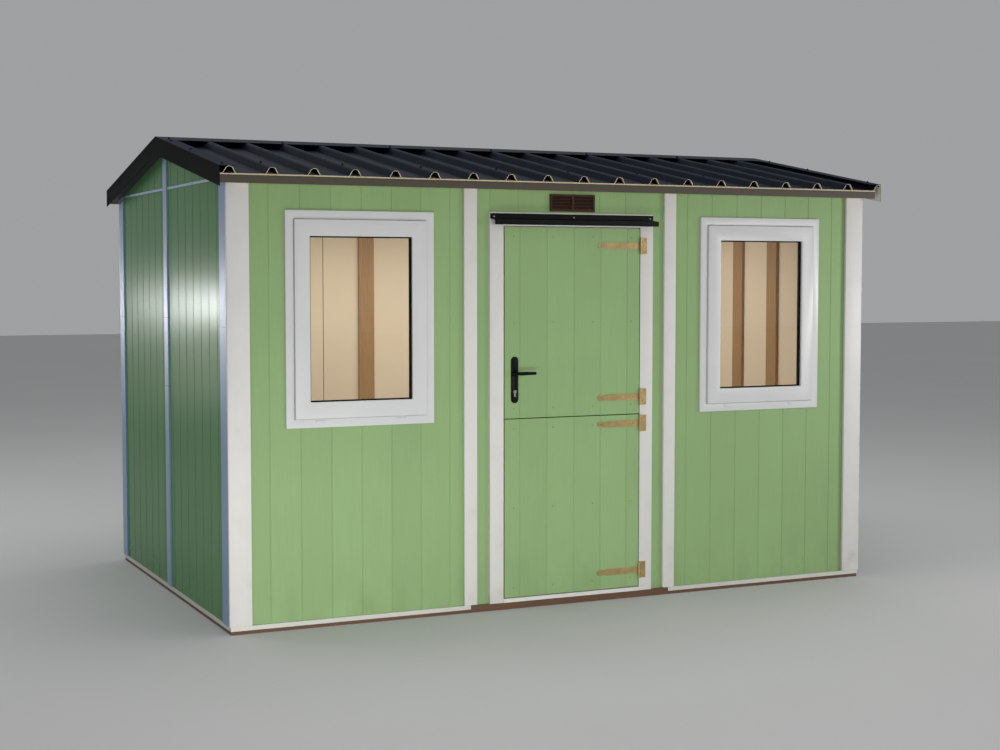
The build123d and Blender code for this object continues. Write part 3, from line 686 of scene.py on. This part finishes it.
def step_top(shape, inward, up):
    """Narrows the top face of a screw head and moves it up or down."""
    top = max(shape.faces, key=lambda face: face.calc_center_median().z)
    bmesh.ops.inset_region(shape, faces=[top], thickness=inward)
    bmesh.ops.translate(shape, verts=top.verts, vec=(0, 0, up))


def countersunk(radius, angle):
    """Flush screw head with a sunk drive, seen along Z and turned by an angle."""
    shape = bmesh.new()
    bmesh.ops.create_cone(
        shape, cap_ends=True, segments=12, radius1=radius, radius2=radius * 0.86,
        depth=radius * 0.22,
    )
    step_top(shape, radius * 0.36, -radius * 0.16)
    bmesh.ops.rotate(
        shape, verts=shape.verts, cent=(0, 0, 0), matrix=Matrix.Rotation(angle, 3, "Z")
    )
    return shape


def round_head(radius):
    """Low domed screw head with a sunk drive, seen along Z."""
    shape = bmesh.new()
    bmesh.ops.create_cone(
        shape, cap_ends=True, segments=16, radius1=radius, radius2=radius * 0.94,
        depth=radius * 0.3,
    )
    for inward, up in ((0.22, 0.22), (0.28, 0.14), (0.3, -0.3)):
        step_top(shape, radius * inward, radius * up)
    return shape


def front_screws(radius, places):
    """Countersunk heads that face the front, from pairs of a place and an angle."""
    return joined(turned(countersunk(radius, angle), place, FRONT) for place, angle in places)


def swept_bar(stations, sides):
    """Round bar through stations, each with its centre, direction and radius."""
    shape = bmesh.new()
    rings = []
    for centre, way, radius in stations:
        turn = way.to_track_quat("Z", "Y").to_matrix().to_4x4()
        made = bmesh.ops.create_circle(
            shape, segments=sides, radius=radius, matrix=Matrix.Translation(centre) @ turn
        )
        rings.append(made["verts"])
    loops = [[e for e in shape.edges if e.verts[0] in ring] for ring in rings]
    for near, far in zip(loops, loops[1:]):
        bmesh.ops.bridge_loops(shape, edges=near + far)
    for end in (loops[0], loops[-1]):
        bmesh.ops.edgeloop_fill(shape, edges=end)
    bmesh.ops.recalc_face_normals(shape, faces=shape.faces)
    return shape


def lever_arm(face, away, stand, sides):
    """One lever: collar and neck off its plate, a bend, and a tapered arm with a round tip."""
    collar, neck, tip = 0.0118, 0.009, 0.0075
    bend, bend_steps = 0.014, 6
    root = Vector((HANDLE_X, face, HANDLE_Z))
    axis = stand - neck
    along = Vector((1, 0, 0))
    stations = [
        (root + away * out, away, radius)
        for out, radius in (
            (0.0003, collar), (0.0030, collar), (0.0042, collar - 0.0014), (0.0046, neck)
        )
    ]
    for step in range(bend_steps + 1):
        angle = step / bend_steps * pi / 2
        out = axis - bend + bend * sin(angle)
        centre = root + away * out + along * bend * (1 - cos(angle))
        stations.append((centre, away * cos(angle) + along * sin(angle), neck))
    reach = LEVER_HIGH.x - HANDLE_X
    for back, radius in (
        (0.075, neck + 0.0002), (0.03, tip + 0.0006), (0.008, tip), (0.004, tip * 0.93),
        (0.0014, tip * 0.7), (0, tip * 0.36),
    ):
        stations.append((root + away * axis + along * (reach - back), along, radius))
    return swept_bar(stations, sides)


def hexagon_screw(flats, washer):
    """Hexagon roof screw on its rubber washer, seen along Z."""
    shape = bmesh.new()
    bmesh.ops.create_cone(
        shape, cap_ends=True, segments=16, radius1=washer, radius2=washer * 0.92,
        depth=washer * 0.3,
    )
    head = bmesh.new()
    bmesh.ops.create_cone(
        head, cap_ends=True, segments=6, radius1=flats * 0.58, radius2=flats * 0.54,
        depth=flats * 0.75,
        matrix=Matrix.Translation((0, 0, washer * 0.15 + flats * 0.375)),
    )
    return joined([shape, head])


def rectangle_ring(middle, width, height, rim, depth, edge):
    """Upright rectangular ring that faces the front, with softened edges."""
    shape = bmesh.new()
    bmesh.ops.create_grid(shape, x_segments=1, y_segments=1, size=0.5)
    bmesh.ops.scale(shape, vec=(width, height, 1), verts=shape.verts)
    hole = shape.faces[:]
    bmesh.ops.inset_region(
        shape, faces=hole, thickness=rim, use_boundary=True, use_even_offset=True
    )
    bmesh.ops.delete(shape, geom=hole, context="FACES")
    grown = bmesh.ops.extrude_face_region(shape, geom=shape.faces[:])
    risen = [v for v in grown["geom"] if isinstance(v, bmesh.types.BMVert)]
    bmesh.ops.translate(shape, verts=risen, vec=(0, 0, depth))
    bmesh.ops.recalc_face_normals(shape, faces=shape.faces)
    bmesh.ops.bevel(
        shape, geom=[e for e in shape.edges if e.calc_face_angle(0) > 0.5], offset=edge,
        segments=2, profile=0.5, affect="EDGES", material=-1,
    )
    return turned(shape, middle, FRONT)


def rounded_block(low, high, edge):
    """Block between two corners with rounded edges."""
    shape = bmesh.new()
    bmesh.ops.create_cube(shape, size=1)
    bmesh.ops.scale(shape, vec=high - low, verts=shape.verts)
    bmesh.ops.translate(shape, vec=(low + high) / 2, verts=shape.verts)
    bmesh.ops.bevel(
        shape, geom=shape.edges[:], offset=edge, segments=2, profile=0.5,
        affect="EDGES", material=-1,
    )
    return shape


class GARDENOFFICE_OT_walls(bpy.types.Operator):
    """Finishes the boards, steel panels, linings and their covers"""

    bl_idname = "garden_office.walls"
    bl_label = "Walls"

    def execute(self, context):
        walls = context.scene.garden_office_walls
        paint = board_paint("board_paint", walls.board_green, walls.board_tone)
        finish_nodes(
            paint, "front_cladding_left", "front_cladding_right",
            "door_bay_cladding_sides", "door_bay_cladding_head",
        )
        steel = coated_steel("green_steel", walls.steel_green, walls.lining)
        finish_nodes(
            steel, "side_wall_left", "side_wall_right", "gable_peak_left",
            "gable_peak_right", "back_wall",
        )
        # The barge colour is passed on as the painted shade of the lining past the walls.
        barge = context.scene.garden_office_roof.barge
        lining = lining_coat("cream_lining", walls.lining, barge)
        finish_nodes(
            lining, "front_wall_left", "front_wall_right", "door_bay_wall_sides",
            "door_bay_wall_head", "roof_panel_front", "roof_panel_back",
        )
        finish_nodes(
            drawn_metal("angle_aluminium", walls.angles, "Z", 0.1, 0.32, ANGLE_JOINTS),
            "corner_angles",
        )
        finish_nodes(
            drawn_metal("strip_aluminium", walls.strips, "Z", 0.1, 0.32, STRIP_JOINTS),
            "joint_strips",
        )
        finish_nodes(
            drawn_metal("band_aluminium", walls.bands, "Y", 0.3, 0.4), "gable_bands"
        )
        finish_nodes(
            drawn_metal("drip_flashing", walls.flashing, "X", 0.25, 0.5),
            "base_flashings", "side_base_flashings",
        )
        white = white_paint("white_paint", walls.white_paint)
        for node, name in (
            ("corner_trims", "corner_boards"), ("joint_covers", "joint_boards"),
            ("door_jambs", "door_side_frames"),
        ):
            softened(node, name, white, "building", "white_trim", walls.edge)
        across = white_paint("white_paint_across", walls.white_paint, "X")
        softened("door_head", "door_head_frame", across, "building", "white_trim", walls.edge)
        finish_nodes(across, "door_threshold")
        return {"FINISHED"}


class GARDENOFFICE_OT_timbers(bpy.types.Operator):
    """Finishes the sole timbers, floor, posts, plates and rafters"""

    bl_idname = "garden_office.timbers"
    bl_label = "Timbers"

    def execute(self, context):
        wood = context.scene.garden_office_timber
        finish_nodes(timber("treated_timber", wood.treated, "X"), "sole_frame")
        finish_nodes(timber("treated_joists", wood.treated, "Y"), "floor_joists")
        finish_nodes(timber("floor_deck", wood.deck, "X"), "floor_deck")
        finish_nodes(
            timber("upright_framing", wood.framing, "Z"), "corner_posts", "wall_posts"
        )
        finish_nodes(
            timber("level_framing", wood.framing, "X"), "wall_plates", "ridge_beam"
        )
        finish_nodes(timber("sloped_framing", wood.framing, "Y"), "gable_rafters")
        return {"FINISHED"}


class GARDENOFFICE_OT_roof(bpy.types.Operator):
    """Finishes the roof sheets and flashings and adds their screws"""

    bl_idname = "garden_office.roof"
    bl_label = "Roof"

    def execute(self, context):
        roof = context.scene.garden_office_roof
        coat = roof_coat("roof_coat", roof.sheet, roof.underside)
        finish_nodes(coat, "roof_sheet_front", "roof_sheet_back")
        finish_nodes(roof_coat("cap_coat", roof.sheet, roof.sheet), "ridge_cap")
        finish_nodes(
            barge_coat("barge_coat", roof.barge, roof.lit_flange, roof.barge_back),
            "barge_flashing_left", "barge_flashing_right",
        )
        finish_nodes(eaves_coat("eaves_coat", roof.eaves, roof.hem), "eaves_flashings")
        rib_top = CAP_TOP - CAP_SHEET / cos(ROOF_PITCH)
        spots = [(x, RIB_SCREW_Y, rib_top) for x in RIBS[1::2]]
        spots += [(x, CAP_SCREW_Y, CAP_TOP) for x in RIBS[::3]]
        for x in (-BARGE_X, BARGE_X):
            spots += [(x, y, BARGE_TOP) for y in BARGE_SCREWS]
        fall = tan(ROOF_PITCH)
        heads = []
        for side in (-1, 1):
            axis = Vector((0, side * sin(ROOF_PITCH), cos(ROOF_PITCH)))
            for x, y, ridge in spots:
                place = Vector((x, side * y, ridge - y * fall)) + axis * roof.washer * 0.15
                head = hexagon_screw(roof.screw_head, roof.washer)
                heads.append(turned(head, place, axis))
        black = powder_coat("black_screws", roof.sheet)
        add_piece("roof_screws", joined(heads), black, "building", "dark_steel")
        return {"FINISHED"}


class GARDENOFFICE_OT_windows(bpy.types.Operator):
    """Rounds the window frames and sashes and adds gaskets, spacer bars and drain covers"""

    bl_idname = "garden_office.windows"
    bl_label = "Windows"

    def execute(self, context):
        parts = context.scene.garden_office_joinery
        plastic = moulded("white_plastic", parts.plastic, 0.34)
        for node, name in (
            ("window_frames", "window_frame_mouldings"),
            ("window_sashes", "window_sash_mouldings"),
        ):
            softened(node, name, plastic, "building", "white_plastic", parts.frame_edge, 3)
        finish_nodes(pane("clear_glass"), "window_glass")
        rubber = moulded("gasket_rubber", parts.gasket, 0.55, 0.1)
        bars = moulded("spacer_bar", parts.gasket, 0.6, 0.05)
        reach = parts.gasket_reach
        hidden, sheet = 0.010, 0.004
        width = 2 * (GLASS_HIGH.x - BAY - hidden)
        height = GLASS_HIGH.z - GLASS_LOW.z - 2 * hidden
        between = GLASS_HIGH.y - GLASS_LOW.y - 2 * sheet
        drain_x, half, bottom, top, proud = 0.209, 0.022, 0.023, 0.035, 0.0035
        rings, spacers, covers = [], [], []
        for x in (-BAY, BAY):
            z = (GLASS_LOW.z + GLASS_HIGH.z) / 2
            for y in (GLASS_LOW.y, GLASS_HIGH.y + reach):
                middle = Vector((x, y, z))
                rings.append(
                    rectangle_ring(middle, width, height, parts.gasket_width, reach, 0.0007)
                )
            spacers.append(
                rectangle_ring(
                    Vector((x, GLASS_HIGH.y - sheet, z)), width + hidden, height + hidden,
                    parts.spacer_width, between, 0.001,
                )
            )
            for drain in (x - drain_x, x + drain_x):
                low = Vector((drain - half, FRAME_LOW.y - proud, FRAME_LOW.z + bottom))
                high = Vector((drain + half, FRAME_LOW.y + 0.001, FRAME_LOW.z + top))
                covers.append(rounded_block(low, high, 0.0016))
        add_piece("window_gaskets", joined(rings), rubber, "building", "white_plastic")
        add_piece("glass_spacer_bars", joined(spacers), bars, "building", "white_plastic")
        add_piece("drain_covers", joined(covers), plastic, "building", "white_plastic")
        return {"FINISHED"}


class GARDENOFFICE_OT_door(bpy.types.Operator):
    """Finishes the two leaves and adds the screws and the rubber of leaves and frame"""

    bl_idname = "garden_office.door"
    bl_label = "Door leaves"

    def execute(self, context):
        walls = context.scene.garden_office_walls
        parts = context.scene.garden_office_joinery
        paint = board_paint("leaf_paint", walls.board_green, walls.board_tone)
        finish_nodes(paint, "door_top_leaf", "door_bottom_leaf")
        # The leaf screws' darker green is painted shade in their sunk heads.
        sunk = moulded("screw_paint_with_shade", parts.screw_green_with_shade, 0.5, 0.2)
        screw_y = LEAF_FACE - ON_BOARDS
        for body, name, low, high in (
            ("top_leaf", "top_leaf_screws", TOP_LOW, TOP_HIGH),
            ("bottom_leaf", "bottom_leaf_screws", BOTTOM_LOW, BOTTOM_HIGH),
        ):
            rows = (low.z + LEAF_SCREW_INSET, (low.z + high.z) / 2, high.z - LEAF_SCREW_INSET)
            heads = front_screws(
                parts.screw_radius,
                ((Vector((x, screw_y, z)), x * 9 + z) for z in rows for x in LEAF_SCREWS),
            )
            add_piece(name, heads, sunk, body, "green_boards")
        heads = front_screws(
            parts.screw_radius,
            (
                (Vector((x, screw_y, z)), z * 5)
                for x in (-JAMB_SCREW_X, JAMB_SCREW_X) for z in JAMB_SCREWS
            ),
        )
        white = white_paint("screw_white", walls.white_paint)
        add_piece("door_frame_screws", heads, white, "building", "white_trim")
        rubber = moulded("seal_rubber", parts.gasket, 0.6, 0.1)
        front, back = LEAF_FACE + 0.004, LEAF_FACE + 0.019
        seat, short = 0.0004, 0.003
        strip = rounded_block(
            Vector((TOP_LOW.x + short, front, TOP_LOW.z - parts.leaf_seal)),
            Vector((TOP_HIGH.x - short, back, TOP_LOW.z + seat)), 0.0006,
        )
        add_piece("leaf_joint_seal", strip, rubber, "top_leaf", "black_metal")
        seals = []
        foot, head = BOTTOM_LOW.z - LEAF_GAP, TOP_HIGH.z + LEAF_GAP
        side = TOP_HIGH.x + LEAF_GAP
        for way in (-1, 1):
            ends = sorted((way * (side - parts.frame_seal), way * (side + seat)))
            seals.append(
                rounded_block(
                    Vector((ends[0], front, foot)), Vector((ends[1], back, head)), 0.0005
                )
            )
        seals.append(
            rounded_block(
                Vector((-side, front, head - parts.frame_seal)),
                Vector((side, back, head + seat)), 0.0005,
            )
        )
        add_piece("door_frame_seals", joined(seals), rubber, "building", "black_metal")
        return {"FINISHED"}


class GARDENOFFICE_OT_hinges(bpy.types.Operator):
    """Finishes the T-hinges and adds their screws"""

    bl_idname = "garden_office.hinges"
    bl_label = "Hinges"

    def execute(self, context):
        parts = context.scene.garden_office_joinery
        zinc = yellow_zinc("yellow_zinc", parts.zinc)
        finish_nodes(zinc, "top_leaf_straps", "bottom_leaf_straps", "hinge_plates")
        steel = drawn_metal("screw_steel", parts.screw_steel, "Z", 0.8, 0.36)
        radius, face = parts.screw_radius * 0.9, LEAF_FACE - ON_STRAP
        plates = []
        for node, body, name in (
            ("top_leaf_straps", "top_leaf", "top_strap_screws"),
            ("bottom_leaf_straps", "bottom_leaf", "bottom_strap_screws"),
        ):
            low, high = corners(node)
            straps = []
            for z in (low.z + STRAP_HALF, high.z - STRAP_HALF):
                for reach in STRAP_SCREWS:
                    straps.append((Vector((HINGE_X - reach, face, z)), reach * 70 + z))
                for reach, rise in PLATE_SCREWS:
                    plates.append((Vector((HINGE_X + reach, face, z + rise)), rise * 90 + z))
            add_piece(name, front_screws(radius, straps), steel, body, "gold_zinc")
        heads = front_screws(radius, plates)
        add_piece("hinge_plate_screws", heads, steel, "building", "gold_zinc")
        return {"FINISHED"}


class GARDENOFFICE_OT_lever(bpy.types.Operator):
    """Makes the round lever with its spindle and finishes its plates and the lock"""

    bl_idname = "garden_office.lever"
    bl_label = "Lever and lock"

    def execute(self, context):
        parts = context.scene.garden_office_joinery
        powder = powder_coat("black_powder", parts.powder)
        softened(
            "handle_plates", "handle_backplates", powder, "top_leaf", "black_metal", 0.001
        )
        arms = []
        for face, away, end in (
            (PLATES_LOW.y, FRONT, LEVER_LOW.y), (PLATES_HIGH.y, BACK, LEVER_HIGH.y)
        ):
            arms.append(lever_arm(face, away, abs(end - face), parts.lever_sides))
        spindle = bmesh.new()
        corner, run = 0.0056, LEVER_HIGH.y - LEVER_LOW.y - 0.02
        bmesh.ops.create_cone(
            spindle, cap_ends=True, segments=4, radius1=corner, radius2=corner, depth=run
        )
        bmesh.ops.bevel(
            spindle, geom=spindle.edges[:], offset=0.0006, segments=1, profile=0.5,
            affect="EDGES", material=-1,
        )
        middle = Vector((HANDLE_X, (LEVER_LOW.y + LEVER_HIGH.y) / 2, HANDLE_Z))
        arms.append(turned(spindle, middle, FRONT))
        add_piece("lever_bar", joined(arms), powder, "lever", "black_metal", "lever_handle")
        finish_nodes(drawn_metal("nickel", parts.nickel, "Z", 0.9, 0.3), "lock_cylinder")
        return {"FINISHED"}


class GARDENOFFICE_OT_weatherbar(bpy.types.Operator):
    """Finishes the weatherbar over the door and adds its screws"""

    bl_idname = "garden_office.weatherbar"
    bl_label = "Weatherbar"

    def execute(self, context):
        parts = context.scene.garden_office_joinery
        finish_nodes(powder_coat("weatherbar_powder", parts.powder), "weatherbar")
        pale = drawn_metal("pale_steel", parts.pale_steel, "Z", 0.5, 0.36)
        face = LEAF_FACE - ON_BAR
        heads = joined(
            turned(round_head(parts.bar_screw), Vector((x, face, BAR_SCREW_Z)), FRONT)
            for x in BAR_SCREWS
        )
        add_piece("weatherbar_screws", heads, pale, "building", "black_metal")
        return {"FINISHED"}


class GARDENOFFICE_OT_vent(bpy.types.Operator):
    """Finishes the vent over the door and adds its shutter and slider"""

    bl_idname = "garden_office.vent"
    bl_label = "Vent"

    def execute(self, context):
        vent = context.scene.garden_office_joinery.vent
        plastic = moulded("vent_plastic", vent, 0.5, 0.12)
        finish_nodes(plastic, "vent_grille")
        low, high = corners("vent_grille")
        middle = (low.z + high.z) / 2
        inset = Vector((0.0115, 0, 0.0115))
        shutter = rounded_block(
            Vector((low.x, high.y + 0.003, low.z)) + inset,
            Vector((high.x, high.y + 0.006, high.z)) - inset, 0.001,
        )
        add_piece("vent_shutter", shutter, plastic, "building", "brown_plastic")
        half_width, half_height = 0.006, 0.016
        knob = rounded_block(
            Vector((-half_width, low.y - 0.004, middle - half_height)),
            Vector((half_width, low.y + 0.001, middle + half_height)), 0.0015,
        )
        add_piece("vent_slider", knob, plastic, "building", "brown_plastic")
        return {"FINISHED"}


def hang_lamp(name, place, aim, size, watts, tint, spread):
    """Rectangular lamp at a place, aimed at a point and hidden from the camera."""
    data = bpy.data.lights.new(name, "AREA")
    data.shape = "RECTANGLE"
    data.size, data.size_y = size
    data.energy = watts
    data.color = tint
    data.spread = radians(spread)
    lamp = bpy.data.objects.new(name, data)
    lamp.location = place
    toward = Vector(aim) - Vector(place)
    lamp.rotation_euler = toward.to_track_quat("-Z", "Y").to_euler()
    lamp.visible_camera = False
    bpy.context.scene.collection.objects.link(lamp)
    return lamp


def keep_off(lamp, thing):
    """Keeps a lamp's light, and its mirror image, off one thing."""
    unlit = bpy.data.collections.new(f"{thing.name}_kept_from_{lamp.name}")
    unlit.objects.link(thing)
    unlit.collection_objects[0].light_linking.link_state = "EXCLUDE"
    lamp.light_linking.receiver_collection = unlit


class GARDENOFFICE_OT_stage(bpy.types.Operator):
    """Sets up the floor, the soft lamps, the surroundings and the camera"""

    bl_idname = "garden_office.stage"
    bl_label = "Stage"

    def execute(self, context):
        scene = context.scene
        scene.view_settings.view_transform = "Standard"
        ground = bmesh.new()
        bmesh.ops.create_grid(ground, x_segments=8, y_segments=8, size=40)
        data = bpy.data.meshes.new("floor")
        ground.to_mesh(data)
        ground.free()
        f = Finish("studio_floor")
        cloud = f.noise(0.6, 4)
        f.set(
            Base_Color=f.mix((0.56, 0.56, 0.555), (0.6, 0.6, 0.595), cloud), Roughness=0.85
        )
        data.materials.append(f.material)
        floor = bpy.data.objects.new("floor", data)
        scene.collection.objects.link(floor)

        world = bpy.data.worlds.new("soft_surroundings")
        world.use_nodes = True
        sky = world.node_tree.nodes["Background"]
        sky.inputs["Color"].default_value = (0.97, 0.985, 1.0, 1)
        sky.inputs["Strength"].default_value = SURROUNDINGS
        scene.world = world

        lamps = {name: hang_lamp(name, *facts) for name, facts in LAMPS.items()}
        lamps["key"].visible_glossy = False
        lamps["key"].visible_transmission = False
        keep_off(lamps["right"], nodes["window_glass"])
        keep_off(lamps["low"], floor)

        view = bpy.data.cameras.new("camera")
        view.sensor_width = CAMERA_SENSOR
        view.lens = CAMERA_LENS
        camera = bpy.data.objects.new("camera", view)
        camera.location = CAMERA_PLACE
        camera.rotation_euler = (radians(CAMERA_TILT), 0, radians(CAMERA_TURN))
        scene.collection.objects.link(camera)
        scene.camera = camera
        return {"FINISHED"}


class GARDENOFFICE_PT_sidebar(bpy.types.Panel):
    """Lists the pieces and their settings"""

    bl_idname = "GARDENOFFICE_PT_sidebar"
    bl_label = "Garden office"
    bl_space_type = "VIEW_3D"
    bl_region_type = "UI"
    bl_category = "Garden office"

    def draw(self, context):
        for group in SETTINGS:
            box = self.layout.box()
            values = getattr(context.scene, group)
            for name in values.bl_rna.properties.keys():
                if name not in ("rna_type", "name"):
                    box.prop(values, name)
        for operator in OPERATORS:
            self.layout.operator(operator.bl_idname)


SETTINGS = {
    "garden_office_walls": WallSettings,
    "garden_office_timber": TimberSettings,
    "garden_office_roof": RoofSettings,
    "garden_office_joinery": JoinerySettings,
}
OPERATORS = (
    GARDENOFFICE_OT_stage, GARDENOFFICE_OT_walls, GARDENOFFICE_OT_timbers,
    GARDENOFFICE_OT_roof, GARDENOFFICE_OT_windows, GARDENOFFICE_OT_door,
    GARDENOFFICE_OT_hinges, GARDENOFFICE_OT_lever, GARDENOFFICE_OT_weatherbar,
    GARDENOFFICE_OT_vent,
)


def register():
    for kind in (*SETTINGS.values(), *OPERATORS, GARDENOFFICE_PT_sidebar):
        bpy.utils.register_class(kind)
    for name, kind in SETTINGS.items():
        setattr(bpy.types.Scene, name, PointerProperty(type=kind))


def unregister():
    for name in SETTINGS:
        delattr(bpy.types.Scene, name)
    for kind in (GARDENOFFICE_PT_sidebar, *reversed(OPERATORS), *SETTINGS.values()):
        bpy.utils.unregister_class(kind)


def main():
    register()
    bpy.ops.garden_office.stage()
    bpy.ops.garden_office.walls()
    bpy.ops.garden_office.timbers()
    bpy.ops.garden_office.roof()
    bpy.ops.garden_office.windows()
    bpy.ops.garden_office.door()
    bpy.ops.garden_office.hinges()
    bpy.ops.garden_office.lever()
    bpy.ops.garden_office.weatherbar()
    bpy.ops.garden_office.vent()


if __name__ == "__main__":
    main()
